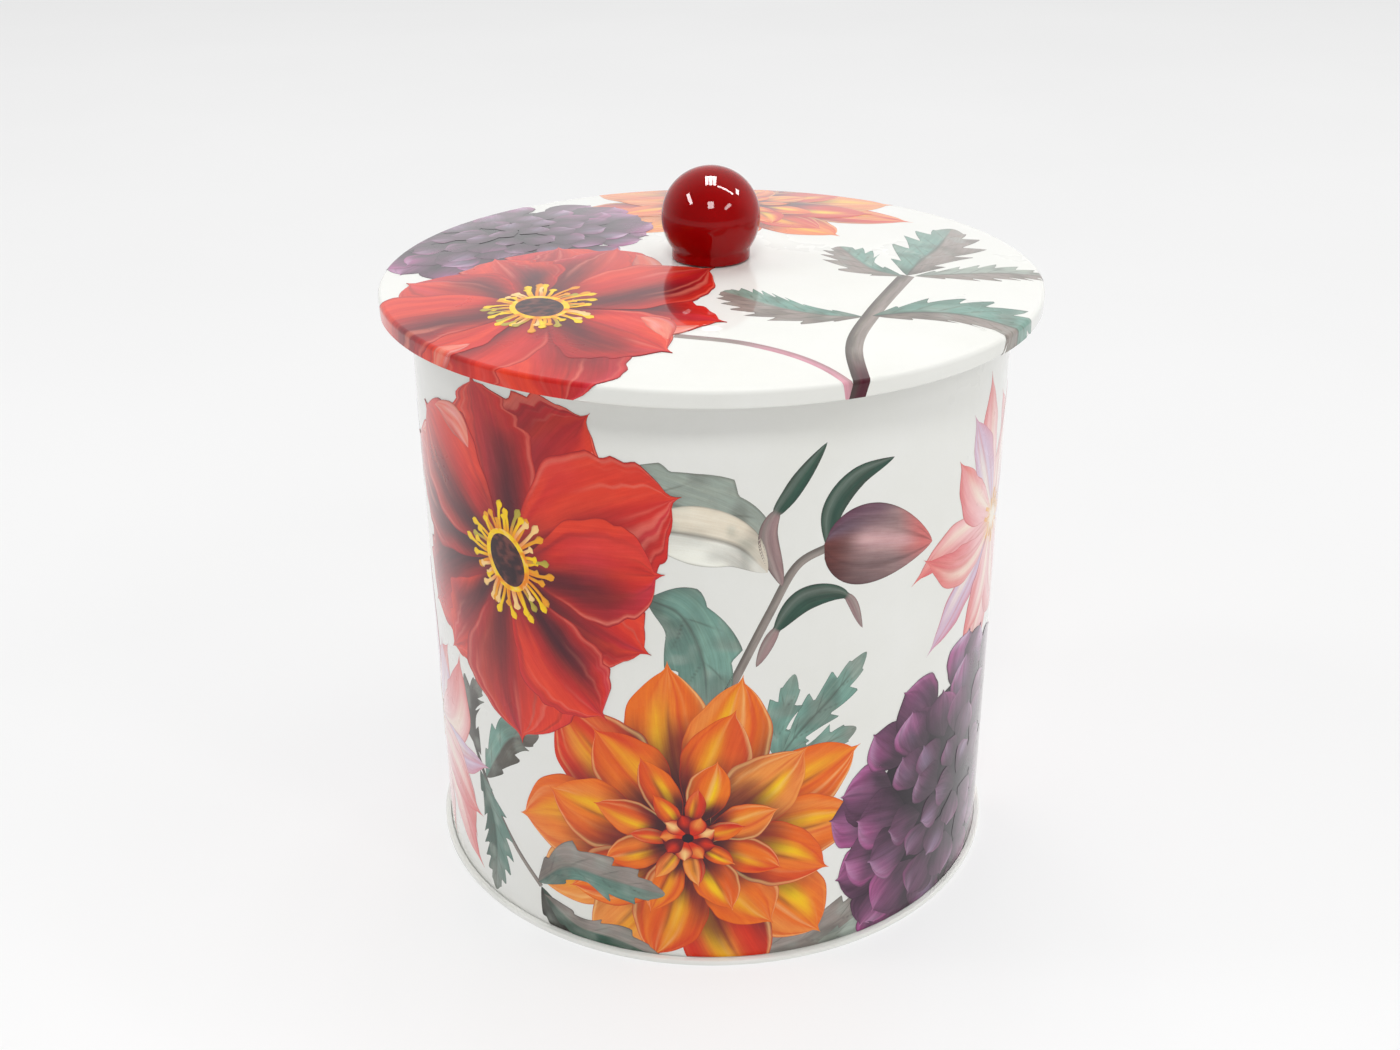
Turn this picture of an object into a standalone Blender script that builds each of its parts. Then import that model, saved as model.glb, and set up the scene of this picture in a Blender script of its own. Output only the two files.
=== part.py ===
"""Round lidded tin for tea or biscuits: a printed tinplate drum, a domed overhanging lid and a red ball knob.

Row frame: metres, +Z up, origin at the centre of the base rim's flat underside.
The drum's side seam is at the back, towards +Y.
"""

import math

import bmesh
import bpy
from mathutils import Matrix, Vector

MM = 0.001

# Driving dimensions
SHEET = 0.3 * MM            # tinplate thickness
GAP = 0.3 * MM              # clearance between neighbouring pieces
WALL_RADIUS = 77.5 * MM     # outside of the drum
LID_RADIUS = 85.0 * MM      # outside of the lid's skirt
SKIRT_BOTTOM = 156.6 * MM   # lowest point of the lid's skirt
SKIRT_HEIGHT = 4.2 * MM
DOME_RISE = 4.0 * MM        # how far the lid's middle stands above its edge
RIM_RADIUS = 79.3 * MM      # outside of the seam ring that joins wall and base
RIM_HEIGHT = 1.5 * MM
BASE_RECESS = 4.6 * MM      # free height under the base panel
PLUG_DEPTH = 11.4 * MM      # how far the lid's ring reaches below the lid's seat
KNOB_RADIUS = 12.6 * MM     # a ball above its middle, drawn out a little below it
KNOB_HEIGHT = 23.5 * MM     # from the lid to the knob's top
KNOB_DROP = 13.3 * MM       # from the ball's middle to where its lower half would close
COLLAR_RADIUS = 10.05 * MM
COLLAR_HEIGHT = 2.5 * MM
SCREW_RADIUS = 2.0 * MM     # M4
STEPS = 56                  # facets round the large pieces
KNOB_STEPS = 40
SCREW_STEPS = 24

# Levels and radii that follow from them
HALF_SHEET = SHEET / 2
LID_EDGE_TOP = SKIRT_BOTTOM + SKIRT_HEIGHT
LID_APEX = LID_EDGE_TOP + DOME_RISE
HEM_RADIUS = 0.45 * MM
HEM_CENTRE = SKIRT_BOTTOM + HEM_RADIUS + HALF_SHEET
FLANGE_MIDDLE = HEM_CENTRE + HALF_SHEET + GAP + HALF_SHEET
WALL_MIDDLE = WALL_RADIUS - HALF_SHEET
CURL_RADIUS = 1.2 * MM
CURL_CENTRE_R = WALL_MIDDLE - CURL_RADIUS
CURL_CENTRE_Z = FLANGE_MIDDLE - HALF_SHEET - GAP - HALF_SHEET - CURL_RADIUS
PLUG_MIDDLE = CURL_CENTRE_R - CURL_RADIUS - HALF_SHEET - GAP - HALF_SHEET
PLUG_BOTTOM = FLANGE_MIDDLE - PLUG_DEPTH
CHUCK_MIDDLE = WALL_MIDDLE - SHEET - GAP
PANEL_MIDDLE = BASE_RECESS + HALF_SHEET
KNOB_BOTTOM = LID_APEX + GAP
KNOB_CENTRE = LID_APEX + KNOB_HEIGHT - KNOB_RADIUS

COLOURS = {
    "printed_tinplate": ((0.90, 0.90, 0.88), 0.28, 0.0),
    "bare_tinplate": ((0.72, 0.72, 0.73), 0.30, 1.0),
    "red_lacquer": ((0.50, 0.004, 0.008), 0.08, 0.0),
    "zinc_steel": ((0.62, 0.63, 0.65), 0.32, 1.0),
    "brass": ((0.74, 0.56, 0.26), 0.30, 1.0),
}


def clear_scene():
    for obj in list(bpy.data.objects):
        bpy.data.objects.remove(obj)


def material(name):
    found = bpy.data.materials.get(name)
    if found:
        return found
    colour, roughness, metallic = COLOURS[name]
    made = bpy.data.materials.new(name)
    made.use_nodes = True
    shader = made.node_tree.nodes["Principled BSDF"]
    shader.inputs["Base Color"].default_value = (*colour, 1.0)
    shader.inputs["Roughness"].default_value = roughness
    shader.inputs["Metallic"].default_value = metallic
    return made


def arc(centre, radius, start, end, steps):
    """Points (r, z) along an arc, by angle in degrees from the outward direction."""
    angles = [math.radians(start + (end - start) * i / steps) for i in range(steps + 1)]
    return [(centre[0] + radius * math.cos(a), centre[1] + radius * math.sin(a)) for a in angles]


def sheet_outline(path, thickness=SHEET):
    """The closed outline of a sheet of even thickness whose middle line is path."""
    points = [Vector(p) for p in path]
    runs = [(b - a).normalized() for a, b in zip(points, points[1:])]
    runs = [runs[0], *runs, runs[-1]]
    left, right = [], []
    for point, before, after in zip(points, runs, runs[1:]):
        tangent = (before + after).normalized()
        across = Vector((-tangent.y, tangent.x)) * (thickness / 2 / tangent.dot(before))
        left.append(point + across)
        right.append(point - across)
    return left + right[::-1]


def turned(name, outline, material_name, steps=STEPS, closed=True):
    """A solid of revolution about +Z. An open outline starts and ends on the axis."""
    bm = bmesh.new()
    points = [bm.verts.new((r, 0.0, z)) for r, z in outline]
    pairs = list(zip(points, points[1:]))
    if closed:
        pairs.append((points[-1], points[0]))
    edges = [bm.edges.new(pair) for pair in pairs]
    bmesh.ops.spin(
        bm, geom=points + edges, cent=(0, 0, 0), axis=(0, 0, 1), angle=math.tau, steps=steps, use_merge=True
    )
    bmesh.ops.remove_doubles(bm, verts=bm.verts, dist=1e-7)
    bmesh.ops.recalc_face_normals(bm, faces=bm.faces)
    return finished(name, bm, material_name)


def block(name, size, centre):
    """A rectangular block, used for the side seam's fold and for cutters."""
    bm = bmesh.new()
    bmesh.ops.create_cube(bm, size=1.0, matrix=Matrix.Translation(centre) @ Matrix.Diagonal((*size, 1.0)))
    return finished(name, bm, "bare_tinplate")


def finished(name, bm, material_name):
    mesh = bpy.data.meshes.new(name)
    bm.to_mesh(mesh)
    bm.free()
    mesh.materials.append(material(material_name))
    mesh.shade_smooth()
    mesh.set_sharp_from_angle(angle=math.radians(35))
    obj = bpy.data.objects.new(name, mesh)
    bpy.context.scene.collection.objects.link(obj)
    return obj


def combine(obj, tool, operation):
    """Joins tool to obj or cuts it out, and leaves it out of the model."""
    modifier = obj.modifiers.new(tool.name, "BOOLEAN")
    modifier.operation = operation
    modifier.solver = "EXACT"
    modifier.object = tool
    tool.hide_render = True
    tool.display_type = "WIRE"


def lid_surface(radius):
    """Height of the middle of the lid's sheet at a radius: a shallow parabola."""
    crown_radius = LID_RADIUS - 1.0 * MM
    return LID_EDGE_TOP - HALF_SHEET + DOME_RISE * (1 - (radius / crown_radius) ** 2)


def make_body_shell():
    """The drum's wall: hooked outwards at the foot, curled inwards at the mouth, folded at its side seam."""
    hook_middle = 2 * SHEET + HALF_SHEET
    hook_reach = RIM_RADIUS - SHEET - GAP
    foot = [(hook_reach, hook_middle), (WALL_MIDDLE + 0.35 * MM, hook_middle)]
    foot.append((WALL_MIDDLE, hook_middle + 0.35 * MM))
    curl = arc((CURL_CENTRE_R, CURL_CENTRE_Z), CURL_RADIUS, 0, 285, 9)
    shell = turned("body_shell", sheet_outline(foot + curl), "printed_tinplate")
    fold_depth, fold_width = 0.5 * MM, 4.0 * MM
    fold_bottom, fold_top = BASE_RECESS + 1.2 * MM, CURL_CENTRE_Z - CURL_RADIUS - 0.8 * MM
    outer, inner = WALL_MIDDLE, WALL_RADIUS - SHEET - fold_depth
    fold = block(
        "side_seam_fold",
        (fold_width, outer - inner, fold_top - fold_bottom),
        (0, (outer + inner) / 2, (fold_top + fold_bottom) / 2),
    )
    combine(shell, fold, "UNION")


def make_base_plate():
    """A recessed panel with one stiffening bead, its edge seamed round the wall's hook."""
    bead_radius, bead_width, bead_rise = 55.0 * MM, 2.6 * MM, 0.9 * MM
    panel = [(0, PANEL_MIDDLE), (bead_radius - bead_width, PANEL_MIDDLE)]
    panel += [(bead_radius - bead_width / 2, PANEL_MIDDLE + bead_rise)]
    panel += [(bead_radius + bead_width / 2, PANEL_MIDDLE + bead_rise)]
    panel += [(bead_radius + bead_width, PANEL_MIDDLE)]
    shoulder = arc((CHUCK_MIDDLE - 0.8 * MM, PANEL_MIDDLE - 0.8 * MM), 0.8 * MM, 90, 0, 2)
    outside = RIM_RADIUS - HALF_SHEET
    seam = [(CHUCK_MIDDLE, HALF_SHEET), (outside - 0.25 * MM, HALF_SHEET), (outside, 0.4 * MM)]
    seam += [(outside, RIM_HEIGHT - 0.5 * MM), (outside - 0.35 * MM, RIM_HEIGHT - HALF_SHEET)]
    seam += [(WALL_RADIUS + GAP, RIM_HEIGHT - HALF_SHEET)]
    turned("base_plate", open_sheet(panel + shoulder + seam), "printed_tinplate", closed=False)


def open_sheet(path):
    """The outline of a disc-like sheet whose middle line starts on the axis."""
    outline = sheet_outline(path)
    outline[0].x = outline[-1].x = 0.0
    return outline


def make_lid_cover():
    """The printed cover: domed, rounded over into a short skirt, hemmed inwards round the plug ring's flange."""
    hole_radius = SCREW_RADIUS + GAP
    skirt_middle = LID_RADIUS - HALF_SHEET
    corner = 1.0 * MM
    radii = [hole_radius, 14 * MM, 36 * MM, 56 * MM, 72 * MM]
    crown = [(r, lid_surface(r)) for r in radii]
    edge = arc((skirt_middle - corner, LID_EDGE_TOP - HALF_SHEET - corner), corner, 80, 0, 3)
    hem = arc((skirt_middle - HEM_RADIUS, HEM_CENTRE), HEM_RADIUS, 0, -180, 4)
    turned("lid_cover", sheet_outline(crown + edge + hem), "printed_tinplate")


def make_lid_plug():
    """The plain ring under the cover that slides into the drum's mouth."""
    corner = 0.6 * MM
    flange = [(LID_RADIUS - SHEET - GAP, FLANGE_MIDDLE)]
    turn = arc((PLUG_MIDDLE + corner, FLANGE_MIDDLE - corner), corner, 90, 180, 2)
    hem = arc((PLUG_MIDDLE - 0.5 * MM, PLUG_BOTTOM + 0.5 * MM), 0.5 * MM, 0, -180, 4)
    turned("lid_plug", sheet_outline(flange + turn + hem), "bare_tinplate")


def make_knob():
    """A lacquered ball on a short collar, bored from below for the threaded insert."""
    bore_radius, bore_depth = SCREW_RADIUS + 4 * GAP, 11.0 * MM
    neck_z = KNOB_BOTTOM + COLLAR_HEIGHT
    neck_turn = -math.degrees(math.asin((KNOB_CENTRE - neck_z) / KNOB_DROP))
    stretch = KNOB_DROP / KNOB_RADIUS
    ball = [
        (r, KNOB_CENTRE + (z - KNOB_CENTRE) * stretch)
        for r, z in arc((0, KNOB_CENTRE), KNOB_RADIUS, neck_turn, 0, 5)
    ]
    ball += arc((0, KNOB_CENTRE), KNOB_RADIUS, 0, 90, 9)[1:-1]
    ball.append((0.0, KNOB_CENTRE + KNOB_RADIUS))
    bore = [(0.0, KNOB_BOTTOM + bore_depth), (bore_radius, KNOB_BOTTOM + bore_depth), (bore_radius, KNOB_BOTTOM)]
    collar = [(COLLAR_RADIUS - 0.3 * MM, KNOB_BOTTOM), (COLLAR_RADIUS, KNOB_BOTTOM + 0.3 * MM)]
    collar += [(COLLAR_RADIUS + 0.1 * MM, neck_z - 0.15 * MM)]
    turned("knob", bore + collar + ball, "red_lacquer", KNOB_STEPS, closed=False)


def make_knob_insert():
    """A threaded brass bush pressed into the knob, drawn as a plain tube."""
    inner, outer = SCREW_RADIUS + GAP, SCREW_RADIUS + 3 * GAP
    bottom, top = KNOB_BOTTOM + GAP, KNOB_BOTTOM + 9.3 * MM
    turned("knob_insert", [(inner, bottom), (outer, bottom), (outer, top), (inner, top)], "brass", SCREW_STEPS)


def make_washer():
    top = lid_surface(0) - HALF_SHEET - GAP
    bottom = top - 0.8 * MM
    inner, outer = SCREW_RADIUS + GAP, 6.0 * MM
    turned("knob_washer", [(inner, bottom), (outer, bottom), (outer, top), (inner, top)], "zinc_steel", SCREW_STEPS)
    return bottom


def make_screw(washer_bottom):
    """An M4 pan-head screw with a cross recess; its head is inside the lid."""
    head_top = washer_bottom - GAP
    head_radius, head_height = 4.0 * MM, 2.4 * MM
    head_bottom = head_top - head_height
    tip = KNOB_BOTTOM + 8.0 * MM
    round_over = arc((head_radius - 1.2 * MM, head_bottom + 1.2 * MM), 1.2 * MM, -90, 0, 3)
    outline = [(0, head_bottom), *round_over, (head_radius, head_top), (SCREW_RADIUS, head_top)]
    outline += [(SCREW_RADIUS, tip - 0.5 * MM), (SCREW_RADIUS - 0.5 * MM, tip), (0, tip)]
    screw = turned("knob_screw", outline, "zinc_steel", SCREW_STEPS, closed=False)
    slot_length, slot_width, slot_depth = 4.4 * MM, 0.9 * MM, 1.3 * MM
    for turn, size in enumerate(((slot_length, slot_width), (slot_width, slot_length))):
        cutter = block(f"recess_{turn}", (*size, 2 * slot_depth), (0, 0, head_bottom))
        combine(screw, cutter, "DIFFERENCE")


clear_scene()
make_body_shell()
make_base_plate()
make_lid_cover()
make_lid_plug()
make_knob()
make_knob_insert()
make_screw(make_washer())
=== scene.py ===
import math

import bmesh
import bpy
import numpy as np
from mathutils import Matrix, Vector


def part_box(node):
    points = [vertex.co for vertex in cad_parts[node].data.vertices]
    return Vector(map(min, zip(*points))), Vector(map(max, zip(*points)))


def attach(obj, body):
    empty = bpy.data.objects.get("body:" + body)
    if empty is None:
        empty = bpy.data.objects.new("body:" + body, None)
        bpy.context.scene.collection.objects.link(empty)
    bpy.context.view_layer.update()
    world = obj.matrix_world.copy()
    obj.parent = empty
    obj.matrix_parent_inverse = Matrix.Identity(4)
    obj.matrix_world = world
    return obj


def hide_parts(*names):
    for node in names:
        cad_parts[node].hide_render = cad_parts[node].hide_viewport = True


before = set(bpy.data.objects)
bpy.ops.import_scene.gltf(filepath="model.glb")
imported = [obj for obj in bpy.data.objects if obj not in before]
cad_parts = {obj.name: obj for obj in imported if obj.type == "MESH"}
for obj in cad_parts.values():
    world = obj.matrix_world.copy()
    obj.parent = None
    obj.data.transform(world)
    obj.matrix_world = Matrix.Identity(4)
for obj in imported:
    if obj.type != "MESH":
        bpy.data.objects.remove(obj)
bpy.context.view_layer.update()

MM = 0.001

# ---- sizes, read from the CAD parts and as in the CAD
SHEET = 0.3 * MM
HALF = SHEET / 2
GAP = 0.3 * MM
rim_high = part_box("base_plate")[1]
shell_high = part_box("body_shell")[1]
lid_low, lid_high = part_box("lid_cover")
knob_low, knob_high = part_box("knob")
plug_low, plug_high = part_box("lid_plug")
insert_low, insert_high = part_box("knob_insert")
washer_low, washer_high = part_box("knob_washer")
screw_low, screw_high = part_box("knob_screw")

LID_RADIUS = lid_high.x
LID_APEX = lid_high.z
SKIRT_BOTTOM = lid_low.z
SKIRT_HEIGHT = 4.2 * MM
DOME_RISE = LID_APEX - SKIRT_BOTTOM - SKIRT_HEIGHT
LID_EDGE_TOP = SKIRT_BOTTOM + SKIRT_HEIGHT
LID_CORNER = 1.0 * MM
RIM_RADIUS = rim_high.x
RIM_HEIGHT = 1.5 * MM
BASE_RECESS = 4.6 * MM
WALL_RADIUS = 77.5 * MM
WALL_MIDDLE = WALL_RADIUS - HALF
HOOK_RADIUS = 0.35 * MM
HOOK_Z = 2 * SHEET + HALF
HEM_RADIUS = 0.45 * MM
CURL_RADIUS = 1.2 * MM
CURL_Z = shell_high.z - HALF - CURL_RADIUS
CURL_R = WALL_MIDDLE - CURL_RADIUS
PLUG_MIDDLE = CURL_R - CURL_RADIUS - SHEET - GAP
SCREW_RADIUS = 2.0 * MM
SEAM_WIDTH = 4.0 * MM
SEAM_HEIGHT = 0.5 * MM


def add(name, data):
    """A new object in the scene."""
    obj = bpy.data.objects.new(name, data)
    bpy.context.scene.collection.objects.link(obj)
    return obj


def to_mesh(bm, name):
    """A new mesh with what a bmesh holds. The bmesh is freed."""
    mesh = bpy.data.meshes.new(name)
    bm.to_mesh(mesh)
    bm.free()
    return mesh


def shade(mesh, sharp):
    """Smooth shading, but for edges sharper than an angle in degrees."""
    mesh.shade_smooth()
    mesh.set_sharp_from_angle(angle=math.radians(sharp))


# ---- node materials
def principled(name, **values):
    """A new material with values for its Principled shader, its node tree, and object coordinates in it."""
    made = bpy.data.materials.new(name)
    made.use_nodes = True
    tree = made.node_tree
    for key, value in values.items():
        feed(tree, tree.nodes["Principled BSDF"].inputs[key.replace("_", " ")], value)
    return made, tree, node(tree, "TexCoord").outputs["Object"]


def feed(tree, socket, value):
    """Links a socket to another one, or gives it a value."""
    if isinstance(value, bpy.types.NodeSocket):
        tree.links.new(value, socket)
    else:
        socket.default_value = value


def node(tree, kind, **values):
    """A node of a kind. Each value is an attribute's or, where none has its name, an input's."""
    made = tree.nodes.new("ShaderNode" + kind)
    for key, value in values.items():
        if hasattr(made, key):
            setattr(made, key, value)
        else:
            feed(tree, made.inputs[key.replace("_", " ")], value)
    return made


def noise(tree, coords, scale, detail=3.0, roughness=0.5, stretch=(1, 1, 1)):
    """Noise from 0 to 1 over coordinates, finer along an axis with a larger stretch."""
    spot = node(tree, "Mapping", Vector=coords, Scale=stretch).outputs["Vector"]
    made = node(tree, "TexNoise", Vector=spot, Scale=scale, Detail=detail, Roughness=roughness)
    return made.outputs["Fac"]


def cells(tree, coords, scale):
    """Distance from the middle of the nearest of many random cells."""
    return node(tree, "TexVoronoi", Vector=coords, Scale=scale, Randomness=1.0).outputs["Distance"]


def spread(tree, value, low, high, start=0.3, end=0.7):
    """Maps a value that runs from start to end onto low to high."""
    made = node(tree, "MapRange", Value=value, From_Min=start, From_Max=end, To_Min=low, To_Max=high)
    return made.outputs["Result"]


def mixed(tree, factor, a, b, kind="MIX"):
    """Colour a blended towards b. Each may be a socket or a plain colour."""
    made = node(tree, "Mix", data_type="RGBA", blend_type=kind)
    for index, value in ((0, factor), (6, a), (7, b)):
        feed(tree, made.inputs[index], value)
    return made.outputs[2]


def finished(material, colour, roughness, bumps):
    """Links a colour, a roughness and bumps of (height, strength, distance) to a shader and its coat."""
    tree = material.node_tree
    shader = tree.nodes["Principled BSDF"]
    tree.links.new(colour, shader.inputs["Base Color"])
    tree.links.new(roughness, shader.inputs["Roughness"])
    last = None
    for height, strength, distance in bumps:
        made = node(tree, "Bump", Height=height, Strength=strength, Distance=distance)
        if last:
            tree.links.new(last, made.inputs["Normal"])
        last = made.outputs["Normal"]
    tree.links.new(last, shader.inputs["Normal"])
    tree.links.new(last, shader.inputs["Coat Normal"])
    return material


def grey(value):
    return (value, value, value, 1.0)


VARNISH = dict(Coat_Weight=1.0, Coat_Roughness=0.03, Coat_IOR=1.34, Specular_IOR_Level=0.05)


def varnished(material, coords, colour):
    """A colour under the clear varnish of everything printed: faint orange peel and rubbed patches."""
    tree = material.node_tree
    rubbed = noise(tree, coords, 38.0, 4.0, 0.6)
    peel = noise(tree, coords, 900.0, 2.0, 0.5)
    return finished(material, colour, spread(tree, rubbed, 0.25, 0.37), [(peel, 0.02, 0.00001)])


def white_lacquer():
    """Glossy white lacquer, faintly warm, with soft mottling and rare pinholes."""
    made, tree, coords = principled("white_lacquer", **VARNISH)
    clouds = noise(tree, coords, 24.0, 5.0, 0.6)
    grain = noise(tree, coords, 1400.0, 2.0, 0.6)
    pinholes = spread(tree, cells(tree, coords, 42.0), 0.30, 0.0, 0.0, 0.013)
    colour = mixed(tree, spread(tree, clouds, 0.0, 1.0), (0.775, 0.775, 0.73, 1), (0.815, 0.815, 0.785, 1))
    colour = mixed(tree, spread(tree, grain, 0.0, 0.12, 0.45, 0.75), colour, (0.74, 0.73, 0.70, 1))
    colour = mixed(tree, pinholes, colour, (0.42, 0.40, 0.37, 1))
    return varnished(made, coords, colour)


def printed_ink():
    """Inks under varnish: the strips' own colour, brushed along each of them and pooled at random."""
    made, tree, coords = principled("printed_ink", **VARNISH)
    strokes = node(tree, "UVMap", uv_map="grain").outputs["UV"]
    colour = node(tree, "Attribute", attribute_name="ink").outputs["Color"]
    hairs = noise(tree, strokes, 1.0, 3.0, 0.65, (0.16, 2.6, 1))
    bands = noise(tree, strokes, 1.0, 2.0, 0.5, (0.07, 0.75, 1))
    pools = noise(tree, coords, 260.0, 5.0, 0.7)
    tooth = noise(tree, coords, 2400.0, 2.0, 0.5)
    for value, most, start, end, over, kind in (
        (hairs, 0.34, 0.42, 0.68, (0.30, 0.22, 0.20, 1), "SOFT_LIGHT"),
        (bands, 0.40, 0.45, 0.75, (0.95, 0.90, 0.84, 1), "SOFT_LIGHT"),
        (pools, 0.32, 0.40, 0.70, (0.36, 0.30, 0.30, 1), "SOFT_LIGHT"),
        (tooth, 0.10, 0.45, 0.70, grey(0.72), "MULTIPLY"),
    ):
        colour = mixed(tree, spread(tree, value, 0.0, most, start, end), colour, over, kind)
    return varnished(made, coords, colour)


def bare_tinplate():
    """Satin tinplate: fine rolling lines, cloudy tin crystals and light scratches."""
    made, tree, coords = principled("bare_tinplate", Metallic=0.6)
    rolled = noise(tree, coords, 60.0, 4.0, 0.7, (1, 1, 40))
    scratches = noise(tree, coords, 130.0, 2.0, 0.4, (1, 22, 3))
    crystals = spread(tree, cells(tree, coords, 180.0), 0.0, 0.25, 0.2, 0.9)
    colour = mixed(tree, spread(tree, rolled, 0.0, 1.0), (0.60, 0.60, 0.61, 1), (0.80, 0.79, 0.77, 1))
    colour = mixed(tree, crystals, colour, grey(0.52))
    bumps = [(rolled, 0.06, 0.00005), (scratches, 0.05, 0.00004)]
    return finished(made, colour, spread(tree, rolled, 0.24, 0.38), bumps)


def red_lacquer():
    """Deep red gloss lacquer: slightly cloudy colour under a flawless clear top."""
    made, tree, coords = principled(
        "red_lacquer", Coat_Weight=1.0, Coat_Roughness=0.012, Coat_IOR=1.29, Specular_IOR_Level=0.0
    )
    depth = noise(tree, coords, 70.0, 3.0, 0.55)
    colour = mixed(tree, spread(tree, depth, 0.0, 1.0), (0.25, 0.0, 0.0004, 1), (0.33, 0.0002, 0.0008, 1))
    peel = noise(tree, coords, 320.0, 1.0, 0.4)
    return finished(made, colour, spread(tree, depth, 0.16, 0.26), [(peel, 0.03, 0.00003)])


def turned_metal(name, dark, light):
    """Metal with lathe marks round its axis and a little tarnish."""
    made, tree, coords = principled(name, Metallic=1.0)
    marks = noise(tree, coords, 350.0, 3.0, 0.6, (0.3, 0.3, 9))
    tarnish = noise(tree, coords, 420.0, 4.0, 0.65)
    colour = mixed(tree, spread(tree, tarnish, 0.0, 1.0), dark, light)
    return finished(made, colour, spread(tree, marks, 0.20, 0.42), [(marks, 0.12, 0.00005)])


WHITE = white_lacquer()
INK = printed_ink()
BARE = bare_tinplate()
RED = red_lacquer()
ZINC = turned_metal("zinc_plate", (0.50, 0.51, 0.53, 1), (0.68, 0.69, 0.70, 1))
BRASS = turned_metal("turned_brass", (0.52, 0.34, 0.11, 1), (0.74, 0.55, 0.24, 1))


# ---- turned pieces
def arc(centre, radius, start, end, steps):
    """Points (r, z) along an arc, by angle in degrees from the outward direction."""
    angles = np.radians(np.linspace(start, end, steps + 1))
    return [(centre[0] + radius * math.cos(a), centre[1] + radius * math.sin(a)) for a in angles]


def line(a, b, steps):
    """Points from a towards b, without b."""
    return [(a[0] + (b[0] - a[0]) * i / steps, a[1] + (b[1] - a[1]) * i / steps) for i in range(steps)]


def sheet_outline(path):
    """The closed outline of a sheet along its middle line, and how many of its points are on the left."""
    points = [Vector(p) for p in path]
    runs = [(b - a).normalized() for a, b in zip(points, points[1:])]
    runs = [runs[0], *runs, runs[-1]]
    left, right = [], []
    for point, before, after in zip(points, runs, runs[1:]):
        tangent = (before + after).normalized()
        across = Vector((-tangent.y, tangent.x)) * (HALF / max(tangent.dot(before), 0.5))
        left.append(point + across)
        right.append(point - across)
    return left + right[::-1], len(left)


def lathe(name, outline, materials, body, node_name, steps, second=None, closed=True, push=None):
    """Turns an outline about +Z and rides it on its body. From point second on, faces take material 1."""
    angles = [math.tau * i / steps for i in range(steps)]
    bm = bmesh.new()
    rings = []
    for index, (r, z) in enumerate(outline):
        if r < 1e-7:
            rings.append([bm.verts.new((0, 0, z))] * steps)
            continue
        reach = [r + (push(r, z, a, index) if push else 0.0) for a in angles]
        rings.append([bm.verts.new((d * math.cos(a), d * math.sin(a), z)) for a, d in zip(angles, reach)])
    for i in range(len(rings) if closed else len(rings) - 1):
        lower, upper = rings[i], rings[(i + 1) % len(rings)]
        for j in range(steps):
            k = (j + 1) % steps
            corners = list(dict.fromkeys((lower[j], lower[k], upper[k], upper[j])))
            if len(corners) > 2:
                face = bm.faces.new(corners)
                face.material_index = 1 if second is not None and i >= second else 0
    bmesh.ops.recalc_face_normals(bm, faces=bm.faces)
    mesh = to_mesh(bm, name)
    for each in materials:
        mesh.materials.append(each)
    shade(mesh, 50)
    obj = add(name, mesh)
    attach(obj, body)
    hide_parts(node_name)
    return obj


def dome(radius):
    """Height of the middle of the lid's sheet at a radius."""
    return LID_EDGE_TOP - HALF + DOME_RISE * (1 - (radius / (LID_RADIUS - LID_CORNER)) ** 2)


def seam_push(inner_count):
    """Raises the folded seam inside the wall and sinks its fine joint line outside, at the back."""
    slope, joint_width, joint_depth = 0.5 * MM, 0.35 * MM, 0.12 * MM
    lowest, highest = BASE_RECESS + 1.2 * MM, CURL_Z - 2.2 * MM

    def push(r, z, angle, index):
        across = (angle - math.pi / 2) * WALL_RADIUS
        if index < inner_count:
            edge = min(1.0, max(0.0, (SEAM_WIDTH / 2 + slope / 2 - abs(across)) / slope))
            ends = min(1.0, max(0.0, (z - lowest) / MM), max(0.0, (highest - z) / MM))
            return -SEAM_HEIGHT * edge * ends
        groove = math.exp(-(((across - SEAM_WIDTH / 2) / joint_width) ** 2))
        return -joint_depth * groove if RIM_HEIGHT < z < CURL_Z and r > WALL_MIDDLE else 0.0

    return push


def make_wall():
    """A hook in the base's seam, the straight drum, and the mouth curled inwards."""
    foot = [(RIM_RADIUS - SHEET - GAP, HOOK_Z), (RIM_RADIUS - SHEET - 2 * GAP, HOOK_Z)]
    foot += arc((WALL_MIDDLE + HOOK_RADIUS, HOOK_Z + HOOK_RADIUS), HOOK_RADIUS, 270, 180, 5)[:-1]
    straight = line((WALL_MIDDLE, HOOK_Z + HOOK_RADIUS), (WALL_MIDDLE, CURL_Z), 44)
    curl = arc((CURL_R, CURL_Z), CURL_RADIUS, 0, 285, 22)
    outline, inner = sheet_outline(foot + straight + curl)
    lathe(
        "drum_wall", outline, [BARE, WHITE], "tin", "body_shell",
        steps=480, second=inner - 1, push=seam_push(inner),
    )


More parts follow.
